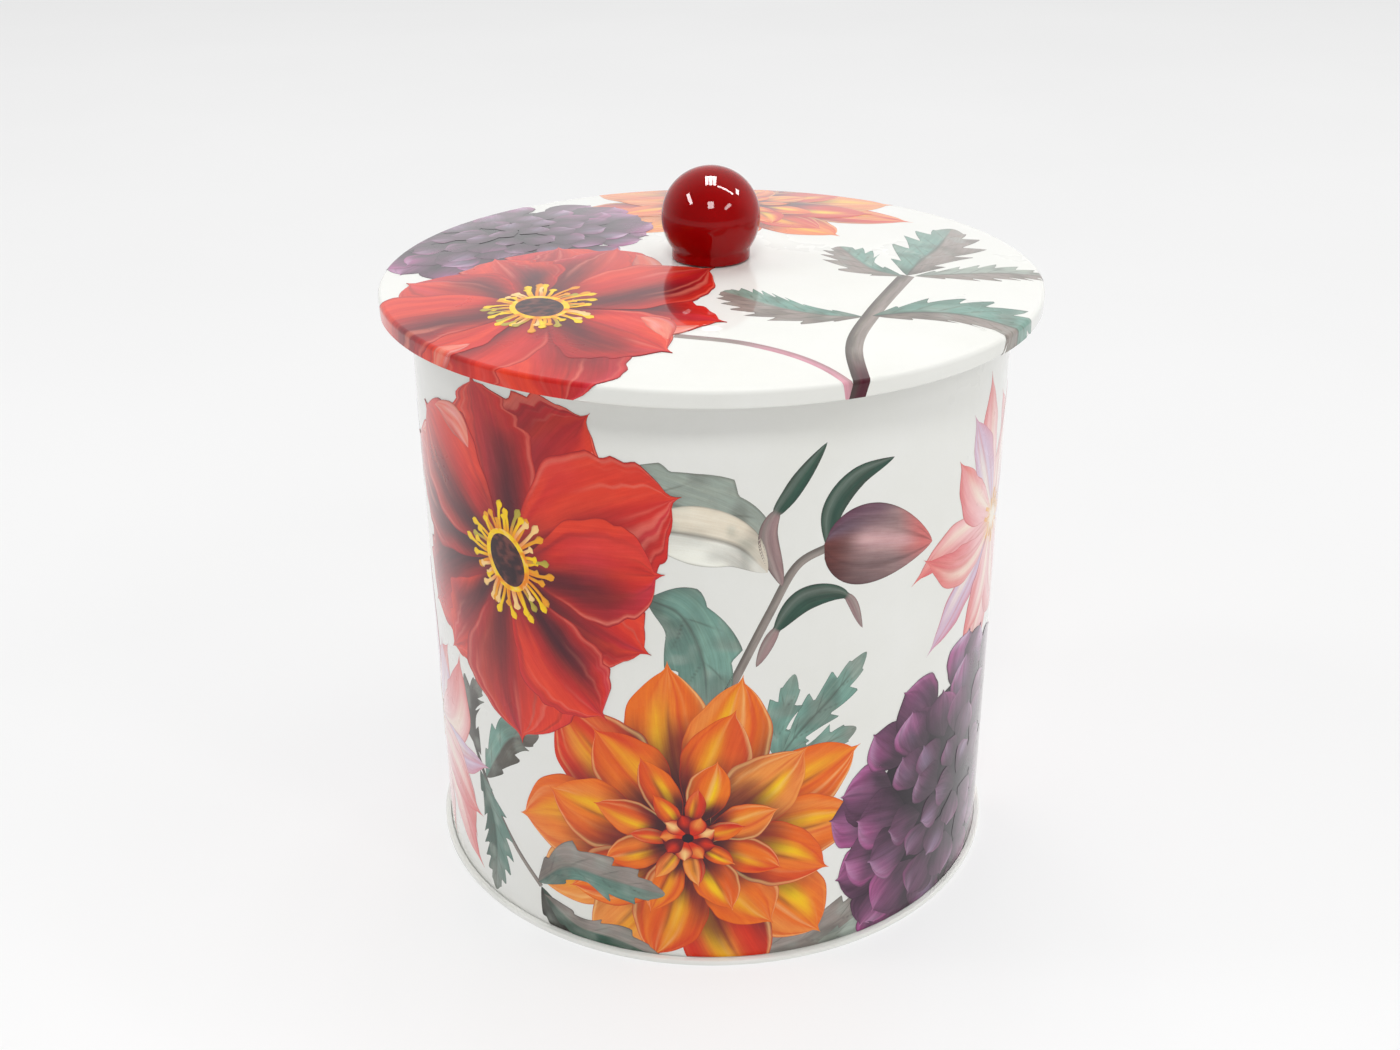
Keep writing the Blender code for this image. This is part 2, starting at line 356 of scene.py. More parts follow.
def make_base():
    """A raised panel with a ring bead, and an edge that folds round the wall's hook into a rounded rim."""
    chuck = WALL_MIDDLE - SHEET - GAP
    level = BASE_RECESS + HALF
    bead_radius, bead_half, rise = 55.0 * MM, 2.6 * MM, 0.9 * MM
    panel = line((0, level), (bead_radius - bead_half, level), 8)
    for i in range(17):
        turn = math.pi * (i / 8 - 1)
        panel.append((bead_radius + bead_half * turn / math.pi, level + rise * (1 + math.cos(turn)) / 2))
    bend = 0.8 * MM
    panel += line((bead_radius + bead_half, level), (chuck - bend, level), 6)[1:]
    shoulder = arc((chuck - bend, level - bend), bend, 90, 0, 7)
    outside = RIM_RADIUS - HALF
    low, high = 0.35 * MM, 0.45 * MM
    seam = line(shoulder[-1], (chuck, HALF + low), 4)[1:]
    seam += arc((chuck + low, HALF + low), low, 180, 270, 6)
    seam += arc((outside - low, HALF + low), low, 270, 360, 6)
    seam += arc((outside - high, RIM_HEIGHT - HALF - high), high, 0, 90, 7)
    seam += [(WALL_RADIUS + GAP, RIM_HEIGHT - HALF)]
    outline, inner = sheet_outline(panel + shoulder + seam)
    outline[0].x = outline[-1].x = 0.0
    lathe(
        "base_disc", outline, [BARE, WHITE], "tin", "base_plate",
        steps=320, second=inner - 1, closed=False,
    )


def make_lid():
    """The dome, its rounded edge and a skirt that is hemmed inwards."""
    crown = [(r, dome(r)) for r in np.linspace(SCREW_RADIUS + GAP, LID_RADIUS - LID_CORNER - 2 * MM, 40)]
    skirt = LID_RADIUS - HALF
    hem_z = SKIRT_BOTTOM + HALF + HEM_RADIUS
    edge = arc((skirt - LID_CORNER, LID_EDGE_TOP - HALF - LID_CORNER), LID_CORNER, 84, 0, 12)
    drop = line(edge[-1], (skirt, hem_z), 5)[1:]
    hem = arc((skirt - HEM_RADIUS, hem_z), HEM_RADIUS, 0, -180, 12)
    outline, outer = sheet_outline(crown + edge + drop + hem)
    lathe("lid_top", outline, [WHITE, BARE], "lid", "lid_cover", steps=320, second=outer)


def make_lid_ring():
    """A flange held in the lid's hem, and a ring down from it that is hemmed inwards."""
    corner, hem_radius = 0.6 * MM, 0.5 * MM
    flange_z = plug_high.z - HALF
    hem_z = plug_low.z + HALF + hem_radius
    flange = line((LID_RADIUS - SHEET - GAP, flange_z), (PLUG_MIDDLE + corner, flange_z), 5)
    turn = arc((PLUG_MIDDLE + corner, flange_z - corner), corner, 90, 180, 8)
    drop = line(turn[-1], (PLUG_MIDDLE, hem_z), 6)[1:]
    hem = arc((PLUG_MIDDLE - hem_radius, hem_z), hem_radius, 0, -180, 12)
    outline = sheet_outline(flange + turn + drop + hem)[0]
    lathe("lid_ring", outline, [BARE], "lid", "lid_plug", steps=320)


def make_knob():
    """A ball whose lower half is drawn out a little and runs softly into a collar."""
    ball_radius = knob_high.x
    centre = knob_high.z - ball_radius
    drop, collar, blend = 13.3 * MM, 10.05 * MM, 0.7 * MM
    neck = -math.acos(collar / ball_radius)
    neck_z = centre + drop * math.sin(neck)
    below = np.linspace(neck + 0.06, 0, 22)
    lower = [(ball_radius * math.cos(a), centre + drop * math.sin(a)) for a in below]
    upper = arc((0, centre), ball_radius, 0, 90, 32)
    upper[-1] = (0.0, upper[-1][1])
    foot = arc((collar - 0.3 * MM, knob_low.z + 0.3 * MM), 0.3 * MM, 270, 360, 6)
    side = []
    for t in np.linspace(0, 1, 7):
        lift = (1 - t) ** 2 * (neck_z - blend) + 2 * t * (1 - t) * neck_z + t**2 * lower[0][1]
        side.append(((1 - t**2) * collar + t**2 * lower[0][0], lift))
    bore_radius, bore_top = SCREW_RADIUS + 4 * GAP, knob_low.z + 11 * MM
    bore = [(0.0, bore_top), (bore_radius, bore_top), (bore_radius, knob_low.z)]
    outline = bore + foot + side + lower[1:] + upper[1:]
    lathe("ball_knob", outline, [RED], "lid", "knob", steps=128, closed=False)


def hollow_turning(low, high, outer, fillet, side=()):
    """The outline of a ring round the screw, from its bottom up its outside to its top."""
    inner = SCREW_RADIUS + GAP
    outline = [(inner, low), (outer - fillet, low), (outer, low + fillet), *side]
    return outline + [(outer, high - fillet), (outer - fillet, high), (inner, high)]


def make_insert():
    low, high, outer, depth = insert_low.z, insert_high.z, insert_high.x, 0.2 * MM
    side, grooves = [], 4
    for i in range(grooves):
        z = low + (high - low) * (i + 1) / (grooves + 1)
        side += [(outer, z - 0.5 * MM), (outer - depth, z - 0.3 * MM)]
        side += [(outer - depth, z + 0.3 * MM), (outer, z + 0.5 * MM)]
    outline = hollow_turning(low, high, outer, depth, side)
    lathe("brass_insert", outline, [BRASS], "lid", "knob_insert", steps=64)


def make_washer():
    outline = hollow_turning(washer_low.z, washer_high.z, washer_high.x, 0.15 * MM)
    lathe("steel_washer", outline, [ZINC], "lid", "knob_washer", steps=96)


def make_screw():
    """A pan-head machine screw: thread ridges on the shank and a cross recess cut into the head."""
    head_low, end = screw_low.z, screw_high.z
    head_top = head_low + 2.4 * MM
    head_radius, crown = screw_high.x, 1.2 * MM
    outline = [(0, head_low)]
    outline += arc((head_radius - crown, head_low + crown), crown, 270, 360, 10)
    outline += [(head_radius, head_top), (SCREW_RADIUS - 0.1 * MM, head_top)]
    pitch, depth = 0.7 * MM, 0.3 * MM
    z = knob_low.z
    while z < end - 1.2 * MM:
        outline += [(SCREW_RADIUS - depth, z), (SCREW_RADIUS, z + pitch / 2)]
        z += pitch
    outline += [(SCREW_RADIUS - depth, end - 0.5 * MM), (SCREW_RADIUS - 2 * depth, end), (0, end)]
    screw = lathe("pan_screw", outline, [ZINC], "lid", "knob_screw", steps=64, closed=False)
    slot_length, slot_width, slot_depth, narrow = 4.4, 0.9, 1.5 * MM, 0.55
    bm = bmesh.new()
    for length_x, length_y in ((slot_length, slot_width), (slot_width, slot_length)):
        for vert in bmesh.ops.create_cube(bm, size=MM)["verts"]:
            deep = vert.co.z > 0
            vert.co.x *= length_x * (narrow if deep and length_x > length_y else 1.0)
            vert.co.y *= length_y * (narrow if deep and length_y > length_x else 1.0)
            vert.co.z = head_low + (slot_depth if deep else -0.5 * MM)
    cutter = add("recess", to_mesh(bm, "recess"))
    cut = screw.modifiers.new("recess", "BOOLEAN")
    cut.operation = "DIFFERENCE"
    cut.solver = "EXACT"
    cut.use_self = True
    cut.object = cutter
    graph = bpy.context.evaluated_depsgraph_get()
    result = bpy.data.meshes.new_from_object(screw.evaluated_get(graph))
    screw.modifiers.clear()
    screw.data = result
    bpy.data.objects.remove(cutter)
    shade(result, 35)


for make in (
    make_wall, make_base, make_lid, make_lid_ring,
    make_knob, make_insert, make_washer, make_screw,
):
    make()


# ---- print: inks, washes and strips
def ink(r, g, b):
    """A printing ink's colour, given as 0 to 255 on screen, as linear light."""
    c = np.array((r, g, b), float) / 255
    return np.where(c > 0.04045, ((c + 0.055) / 1.055) ** 2.4, c / 12.92)


def smooth(low, high, x):
    t = np.clip((x - low) / (high - low), 0, 1)
    return t * t * (3 - 2 * t)


def cloud(x, y, size, seed):
    """Soft random patches, 0 to 1, about size across."""
    table = np.random.default_rng(seed).random((64, 64))
    x, y = x / size + 17.3, y / size + 29.1
    i, j = np.floor(x).astype(int), np.floor(y).astype(int)
    s, t = smooth(0, 1, x - i), smooth(0, 1, y - j)
    near = table[i % 64, j % 64] * (1 - s) + table[(i + 1) % 64, j % 64] * s
    far = table[i % 64, (j + 1) % 64] * (1 - s) + table[(i + 1) % 64, (j + 1) % 64] * s
    return near * (1 - t) + far * t


# Where a wash goes on a strip: u is 0 to 1 along it, v is -1 to 1 across it, x and y are mm in the motif
def tip(start, end, wobble=0.0, seed=0):
    return lambda u, v, x, y: smooth(start, end, u + wobble * (cloud(v * 2.2, u * 2, 1, seed) - 0.5))


def root(*where):
    fade = tip(*where)
    return lambda u, v, x, y: 1 - fade(u, v, x, y)


def rib(centre, width):
    return lambda u, v, x, y: np.exp(-(((v - centre) / width) ** 2))


def side(start, end):
    return lambda u, v, x, y: smooth(start, end, v)


def rim(width):
    return lambda u, v, x, y: smooth(1 - width, 1, np.abs(v))


def hair(across, along, start, end, seed):
    return lambda u, v, x, y: smooth(start, end, cloud(v * across, u * along, 1, seed))


def blot(size, start, end, seed):
    return lambda u, v, x, y: smooth(start, end, cloud(x, y, size, seed))


def wash(base, *layers):
    """Paints a strip with a base ink and then, one over another, (ink, weight, where, where, ...)."""

    def paint(u, v, x, y):
        colour = base + 0 * u[..., None]
        for over, weight, *places in layers:
            for place in places:
                weight = weight * place(u, v, x, y)
            colour = colour + (over - colour) * np.clip(weight + 0 * u, 0, 1)[..., None]
        return colour

    return paint


DOT = 0.8  # spacing of a strip's points in mm: finer than the curve of the drum can show
EDGE_DEPTH = 0.006  # how far below the surface in mm a strip's edges are turned down
FIRST_LIFT = 0.012  # how far the first strip lies above the surface, in mm
RISE = 0.003  # how far a strip lies above the one before, in mm


def bent(start, angle, length, bend=0.0, sway=0.0):
    """A centre line in mm from start at an angle: bend turns it evenly, sway turns it there and back."""
    steps = max(12, int(length / DOT))
    t = np.linspace(0, 1, steps + 1)[:-1]
    turn = angle + bend * t + sway * np.sin(t * math.tau)
    stride = length / steps * np.stack([np.cos(turn), np.sin(turn)], 1)
    return np.array(start, float) + np.vstack([[(0, 0)], np.cumsum(stride, axis=0)])


def sides_of(spine):
    """The direction of a centre line and of its left side, at each of its points."""
    along = np.gradient(spine, axis=0)
    along /= np.linalg.norm(along, axis=1)[:, None] + 1e-9
    return along, np.stack([-along[:, 1], along[:, 0]], 1)


def through(points):
    """A smooth centre line through a few points, in mm."""
    points = np.array(points, float)
    padded = np.vstack([2 * points[0] - points[1], points, 2 * points[-1] - points[-2]])
    out = []
    for p0, p1, p2, p3 in zip(padded, padded[1:], padded[2:], padded[3:]):
        t = np.linspace(0, 1, 3 + int(np.hypot(*(p2 - p1)) / DOT), endpoint=False)[:, None]
        slope, rise = p2 - p0, 2 * p0 - 5 * p1 + 4 * p2 - p3
        out.append(0.5 * (2 * p1 + slope * t + rise * t**2 + (3 * p1 - p0 - 3 * p2 + p3) * t**3))
    return np.vstack(out + [points[-1:]])


class Motif:
    """A printed motif: strips of ink in flat coordinates (mm), each a little above the one before."""

    def __init__(self, seed):
        self.random = np.random.default_rng(seed)
        self.seed, self.lift, self.count = seed, FIRST_LIFT, 0
        self.strips = []  # of each, its flat points, their lifts, inks and grain, and its quads

    def strip(self, spine, left, right, paint, slant=0.0, rise=RISE):
        """Ink on both sides of a centre line, by its half widths; slant sweeps the sides forward."""
        across = max(4, int(np.max(left + right) / DOT) + 2)
        v = np.sin(np.linspace(-1.2, 1.2, across + 1)) / math.sin(1.2)
        v = np.concatenate([[-1.0], v, [1.0]])[None, :]
        along, normal = sides_of(spine)
        reach = v * np.where(v > 0, (left + 0 * spine[:, 0])[:, None], (right + 0 * spine[:, 0])[:, None])
        flat = spine[:, None] + normal[:, None] * reach[..., None]
        flat += along[:, None] * np.abs(reach)[..., None] * slant
        steps = np.linalg.norm(np.diff(spine, axis=0), axis=1)
        run = np.concatenate([[0], np.cumsum(steps)])[:, None] + 0 * v
        v = v + 0 * run
        colour = paint(run / run[-1, 0], v, flat[..., 0], flat[..., 1])
        index = np.arange(v.size).reshape(v.shape) + self.count
        quads = np.stack([index[:-1, :-1], index[1:, :-1], index[1:, 1:], index[:-1, 1:]], -1)
        grain = np.stack([run, reach], -1) + self.random.random(2) * 200
        lifts = np.full((*v.shape, 1), self.lift)
        lifts[:, [0, -1]] = 0.0
        arrays = flat, lifts, np.clip(colour, 0, 1), grain, quads
        self.strips.append([each.reshape(-1, each.shape[-1]) for each in arrays])
        self.count += v.size
        self.lift += rise

    def disc(self, radius_x, radius_y, angle, paint):
        """A filled ellipse round the motif's middle."""
        t = np.cos(np.linspace(math.pi, 0, 16 + int(3 * radius_x / DOT)))
        half = radius_y * np.sqrt(1 - t**2)
        heading = np.array([[math.cos(angle), math.sin(angle)]])
        self.strip(t[:, None] * radius_x * heading, half, half, paint)

    def petal(
        self, angle, start, length, half, paint,
        bend=0.0, sway=0.0, full=1.3, blunt=0.6, wave=0.0, rise=RISE, ragged=0.0,
    ):
        """A petal from start mm out. full moves its widest part outwards, blunt rounds its tip at a nib."""
        spine = bent((math.cos(angle) * start, math.sin(angle) * start), angle, length, bend, sway)
        u = np.linspace(0, 1, len(spine))
        shape = np.clip(np.sin(math.pi * np.clip(u / 0.94, 0, 1) ** full), 0, 1) ** blunt
        shape = np.maximum(shape, 0.15 * smooth(0, 0.12, 1 - u) * (u > 0.5))
        sides = []
        for _ in range(2):
            a, b, c = self.random.random(3) * math.tau
            ripple = np.sin(u * 13 + a) + 0.6 * np.sin(u * 29 + b) + 0.5 * np.sin(u * 6 + c)
            notches = np.abs((u * 10 + a) % 1.0 - 0.5) * 2 * smooth(0.58, 0.76, u)
            sides.append(half * shape * (1 + wave * ripple * smooth(0.15, 0.5, u)) * (1 - ragged * notches))
        self.strip(spine, *sides, paint, rise=rise)
        return spine, sides


# ---- surfaces the print is laid on
PRINT_LOW, PRINT_HIGH = RIM_HEIGHT / MM + 0.05, CURL_Z / MM - 0.2  # on the wall, in mm
HALF_TURN = math.pi * WALL_RADIUS / MM
PRINT_EDGE = HALF_TURN - SEAM_WIDTH / MM * 0.28  # leaves a plain strip of 2.2 mm at the seam
PRINT_MARGIN = 0.25 * MM  # from the print to the lower edge of the lid's skirt


def on_wall(flat, lift):
    """Round the drum from the front, s to the right and z up. It stops short of rim, curl and seam."""
    s, z = flat.T
    s = (s + HALF_TURN) % (2 * HALF_TURN) - HALF_TURN
    inside = (z > PRINT_LOW) & (z < PRINT_HIGH) & (np.abs(s) < PRINT_EDGE)
    turn = np.clip(s, -PRINT_EDGE, PRINT_EDGE) * MM / WALL_RADIUS
    normal = np.stack([np.sin(turn), -np.cos(turn), 0 * turn], 1)
    points = normal * (WALL_RADIUS + lift[:, None] * MM)
    points[:, 2] = np.clip(z, PRINT_LOW, PRINT_HIGH) * MM
    return points, normal, inside, turn


def on_lid(flat, lift):
    """On the dome, x to the right and y to the back, and over its rounded edge down the skirt."""
    flat_radius = LID_RADIUS - LID_CORNER
    bend = LID_CORNER * math.pi / 2
    stop = flat_radius + bend + SKIRT_HEIGHT - LID_CORNER - PRINT_MARGIN
    far = np.hypot(*flat.T) * MM
    heading = flat * MM / np.maximum(far, 1e-9)[:, None]
    inside, far = far < stop, np.minimum(far, stop)
    on_dome = far < flat_radius
    turn = np.clip((far - flat_radius) / LID_CORNER, 0, math.pi / 2)
    out = np.where(on_dome, 2 * DOME_RISE * far / flat_radius**2, np.sin(turn))
    up = np.where(on_dome, 1.0, np.cos(turn))
    out, up = out / np.hypot(out, up), up / np.hypot(out, up)
    radius = np.where(on_dome, far, flat_radius + LID_CORNER * np.sin(turn)) + out * lift * MM
    dome_z = DOME_RISE * (1 - (far / flat_radius) ** 2)
    edge_z = -LID_CORNER * (1 - np.cos(turn)) - np.maximum(far - flat_radius - bend, 0)
    z = LID_EDGE_TOP + np.where(on_dome, dome_z, edge_z) + up * lift * MM
    normal = np.concatenate([heading * out[:, None], up[:, None]], 1)
    return np.concatenate([heading * radius[:, None], z[:, None]], 1), normal, inside, 0 * z


def lay_print(name, motif, surface, body, centre, turn=0.0, level=0.0):
    """Turns a motif, moves it to its place and wraps it on a surface, with the surface's own normals."""
    c, s = math.cos(turn), math.sin(turn)
    flat, lifts, inks, grain, quads = (np.vstack(each) for each in zip(*motif.strips))
    flat = flat @ np.array([[c, s], [-s, c]]) + np.array(centre)
    lifts = np.where(lifts > 0, lifts + level, -EDGE_DEPTH)
    ahead, aside = flat[quads[:, 2]] - flat[quads[:, 0]], flat[quads[:, 3]] - flat[quads[:, 1]]
    folded = ahead[:, 0] * aside[:, 1] < ahead[:, 1] * aside[:, 0]
    quads[folded] = quads[folded, ::-1]
    mesh = bpy.data.meshes.new(name)
    mesh.from_pydata(np.hstack([flat, lifts]).tolist(), [], quads.tolist())
    colours = np.hstack([inks, np.ones((len(flat), 1))])
    mesh.color_attributes.new("ink", "FLOAT_COLOR", "POINT").data.foreach_set("color", colours.ravel())
    mesh.uv_layers.new(name="grain").data.foreach_set("uv", grain[quads.ravel()].ravel())
    bm = bmesh.new()
    bm.from_mesh(mesh)
    if surface is on_lid:
        low, high = (LID_RADIUS - 2.5 * LID_CORNER) / MM, (LID_RADIUS + 1.5 * LID_CORNER) / MM
        edges = [e for e in bm.edges if any(low < v.co.xy.length < high for v in e.verts)]
        bmesh.ops.subdivide_edges(bm, edges=edges, cuts=3, use_grid_fill=True)
    bm.verts.ensure_lookup_table()
    spots = np.array([v.co for v in bm.verts])
    points, normals, inside, around = surface(spots[:, :2], spots[:, 2])
    skin = bm.verts.layers.float_vector.new("skin")
    for vert, point, normal in zip(bm.verts, points.tolist(), normals.tolist()):
        vert.co, vert[skin] = point, normal
    inside, around = inside.tolist(), around.tolist()
    bm.verts.index_update()
    outside = []
    for face in bm.faces:
        turns = [around[v.index] for v in face.verts]
        if max(turns) - min(turns) > 1.0 or not any(inside[v.index] for v in face.verts):
            outside.append(face)
    bmesh.ops.delete(bm, geom=outside, context="FACES")
    bmesh.ops.remove_doubles(bm, verts=bm.verts, dist=2e-7)
    bmesh.ops.dissolve_degenerate(bm, edges=bm.edges, dist=1e-7)
    bmesh.ops.delete(bm, geom=[v for v in bm.verts if not v.link_faces], context="VERTS")
    bm.to_mesh(mesh)
    bm.free()
    mesh.shade_smooth()
    skin = np.empty(len(mesh.vertices) * 3)
    mesh.attributes["skin"].data.foreach_get("vector", skin)
    mesh.normals_split_custom_set_from_vertices(skin.reshape(-1, 3).tolist())
    mesh.attributes.remove(mesh.attributes["skin"])
    mesh.materials.append(INK)
    obj = add(name, mesh)
    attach(obj, body)


# ---- flowers
BLOOM_RISE = 2 * RISE  # for broad curling petals
STAMEN_RISE = RISE / 6

MAROON, WINE, NIGHT = ink(104, 22, 32), ink(66, 20, 34), ink(34, 22, 34)
UMBER, COCOA = ink(58, 30, 36), ink(112, 60, 54)
SCARLET, VERMILION, CRIMSON = ink(206, 38, 32), ink(230, 66, 38), ink(176, 24, 40)
SALMON, ROSE = ink(232, 132, 112), ink(212, 54, 76)
ORANGE, PEACH, EMBER = ink(234, 112, 22), ink(238, 150, 68), ink(212, 48, 22)
YELLOW, GOLD, STRAW = ink(250, 206, 0), ink(236, 160, 28), ink(248, 206, 136)
VIOLET, MAGENTA, LAVENDER = ink(102, 62, 92), ink(170, 84, 142), ink(206, 190, 216)
SLATE, PLUM = ink(130, 122, 146), ink(68, 48, 64)
BLUSH, CORAL, CREAM = ink(240, 190, 192), ink(222, 112, 108), ink(244, 234, 214)
TEAL, PINE, SAGE = ink(118, 158, 146), ink(46, 78, 66), ink(160, 172, 162)
TAUPE, MAUVE, IRON = ink(150, 142, 136), ink(156, 130, 130), ink(70, 68, 62)


def red_bloom(seed, size=49.0, petals=11):
    """An open bloom: broad petals, half in deep shade, round a dark eye and a ring of stamens."""
    art = Motif(seed)
    random, draw = art.random, art.random.uniform
    for k in random.permutation(petals):
        angle = math.tau * (k + draw(-0.22, 0.22)) / petals
        length = size * draw(0.84, 1.08) - 3
        s, shade, key = random.choice((-1, 1)), draw(0.65, 1.0), seed * 50 + 7 * k
        paint = wash(
            SCARLET,
            (VERMILION, 0.75, hair(7, 1.6, 0.35, 0.85, key)),
            (CRIMSON, 0.60, hair(2.2, 1.2, 0.5, 0.85, key + 1)),
            (ROSE, 0.45, hair(3, 2, 0.55, 0.9, key + 2), tip(0.3, 0.6)),
            (VERMILION, 0.55, rib(-0.6 * s, 0.35), tip(0.25, 0.7)),
            (MAROON, 0.95 * shade, rib(0.42 * s, 0.45), root(0.55, 0.95, 0.3, key + 3)),
            (WINE, 0.95 * shade, rib(0.32 * s, 0.38), root(0.35, 0.82, 0.3, key + 4)),
            (WINE, 0.70, root(0.08, 0.36, 0.2, key)),
            (MAROON, 0.35, hair(15, 0.8, 0.70, 0.92, key + 5), tip(0.1, 0.3)),
            (SALMON, 0.45, hair(12, 1.1, 0.80, 0.96, key + 6), tip(0.3, 0.6)),
            (SALMON, 0.40, rib(0.93 * random.choice((-1, 1)), 0.035), tip(0.2, 0.4)),
            (CRIMSON * 0.6, 0.8, rim(0.035)),
        )
        half = length * draw(0.27, 0.42)
        spine, sides = art.petal(
            angle, 3, length, half, paint, draw(-0.5, 0.5), draw(-0.12, 0.12),
            draw(1.2, 1.8), draw(0.42, 0.72), 0.05, BLOOM_RISE, 0.06 + 0.06 * (k % 4),
        )
        if random.random() < 0.5:
            turned_edge(art, spine, sides[0 if s < 0 else 1] * -s, key)
    eye = size * 0.15
    for k in range(46):
        angle = math.tau * (k + draw(-0.4, 0.4)) / 46
        start = (math.cos(angle) * eye * 0.8, math.sin(angle) * eye)
        spine = bent(start, angle, eye * draw(0.45, 1.35), draw(-0.8, 0.8))
        tone = (YELLOW, GOLD, STRAW, ink(182, 166, 60), YELLOW)[random.integers(5)]
        half = np.full(len(spine), size * 0.009)
        half[-4:] = size * np.array((0.014, 0.021, 0.018, 0.0))
        stamen = wash(tone, (ORANGE, 0.6, root(0.1, 0.6)), (COCOA, 0.5, side(0.5, 1)))
        art.strip(spine, half, half, stamen, rise=STAMEN_RISE)
    pale, dots = blot(1.0, 0.6, 0.9, seed + 1), blot(eye * 0.15, 0.45, 0.75, seed + 2)
    around = wash(YELLOW, (ORANGE, 0.8, blot(1.4, 0.4, 0.8, seed)), (STRAW, 0.6, pale))
    middle = wash(UMBER, (COCOA, 0.9, dots), (NIGHT, 0.5, blot(3, 0.4, 0.8, seed)))
    art.disc(eye * 1.12, eye * 0.92, 1.9, around)
    art.disc(eye * 0.94, eye * 0.72, 1.9, middle)
    return art


def turned_edge(art, spine, side_width, key):
    """A stretch of a petal's edge turned over, showing its paler underside."""
    first, last = int(len(spine) * 0.50), int(len(spine) * 0.88)
    out = np.convolve(side_width, np.ones(9) / 9, "same") * 0.78
    edge = (spine + sides_of(spine)[1] * out[:, None])[first:last]
    half = np.abs(side_width).max() * 0.22 * np.sin(math.pi * np.linspace(0, 1, len(edge))) ** 0.9
    under = wash(
        SALMON, (VERMILION, 0.6, hair(4, 3, 0.4, 0.8, key)), (BLUSH, 0.5, hair(8, 2, 0.6, 0.95, key + 1)),
        (CRIMSON, 0.5, side(0.2, 1)), (MAROON, 0.4, rim(0.14)),
    )
    art.strip(edge, half, half, under, rise=BLOOM_RISE)


def orange_dahlia(seed, size=50.0):
    """Rings of broad pointed petals, paler outside and flaming inside, down to a tight rosette."""
    art = Motif(seed)
    random, draw = art.random, art.random.uniform
    art.disc(size * 0.5, size * 0.5, 0, wash(UMBER, (MAROON, 0.6, blot(3, 0.4, 0.8, seed))))
    rings = (  # petals, start, end and breadth as shares of the size, warmth
        (10, 0.20, 1.00, 0.24, 0.2),
        (8, 0.14, 0.76, 0.185, 0.8),
        (8, 0.10, 0.52, 0.105, 0.8),
        (7, 0.06, 0.31, 0.055, 1.0),
    )
    for ring, (petals, start, end, breadth, warm) in enumerate(rings):
        offset = random.random()
        for k in random.permutation(petals):
            key, s = seed * 50 + 17 * ring + k, random.choice((-1, 1))
            fire = warm * draw(0.5, 1.3)
            base = (ORANGE, ORANGE, ORANGE, PEACH, EMBER)[random.integers(5)]
            flame = random.choice((0.2, 0.5, 1.0))
            paint = wash(
                base,
                (PEACH, 0.9 - fire, hair(2.4, 1.2, 0.35, 0.85, key)),
                (EMBER, 0.9 * fire, hair(2.0, 0.8, 0.35, 0.7, key + 1)),
                (EMBER, 0.8 * fire, rim(0.5), side(0.0, 0.6 * s)),
                (GOLD, 0.75, rib(-0.2 * s, 0.25), tip(0.15, 0.35), root(0.6, 0.95, 0.3, key)),
                (YELLOW, flame, rib(-0.25 * s, 0.17), tip(0.2, 0.3), root(0.45, 0.85, 0.4, key)),
                (EMBER, 0.55, hair(13, 0.7, 0.62, 0.9, key + 2)),
                (STRAW, 0.45, hair(15, 0.8, 0.70, 0.95, key + 3), tip(0.2, 0.5)),
                (MAROON, 0.55, rib(0, 0.03), root(0.55, 0.8)),
                (MAROON, 0.85, root(0.30 - 0.06 * ring, 0.64 - 0.06 * ring, 0.25, key + 4)),
                (UMBER, 0.9, root(0.12, 0.50 - 0.06 * ring, 0.2, key + 5)),
                (UMBER, 0.7, side(0.35 * s, 1.2 * s), root(0.5, 0.85)),
                (STRAW, 0.55, rib(0.93 * s, 0.04)),
                (EMBER * 0.75, 0.65, rim(0.035)),
            )
            length = size * (end - start) * draw(0.9, 1.08)
            art.petal(
                math.tau * (k + offset + draw(-0.17, 0.17)) / petals, size * start, length,
                size * breadth * draw(0.85, 1.12), paint, draw(-0.3, 0.3),
                draw(-0.1, 0.1), draw(0.95, 1.25), draw(0.62, 0.8), 0.025, 0.0045 - 0.001 * ring,
            )
    art.disc(size * 0.13, size * 0.12, 0, wash(MAROON, (UMBER, 0.6, blot(1.5, 0.4, 0.8, seed))))
    for k in range(9):
        tones = ((STRAW, EMBER), (PEACH, EMBER), (EMBER, MAROON))[k % 3]
        paint = wash(tones[1], (tones[0], 1.0, tip(0.25, 0.6), rib(0.1, 0.55)), (MAROON, 0.8, rim(0.25)))
        art.petal(math.tau * k * 4 / 9, size * 0.02, size * 0.125, size * 0.045, paint, 0.5, 0, 1.4)
    art.disc(size * 0.03, size * 0.026, 0, wash(NIGHT))
    return art


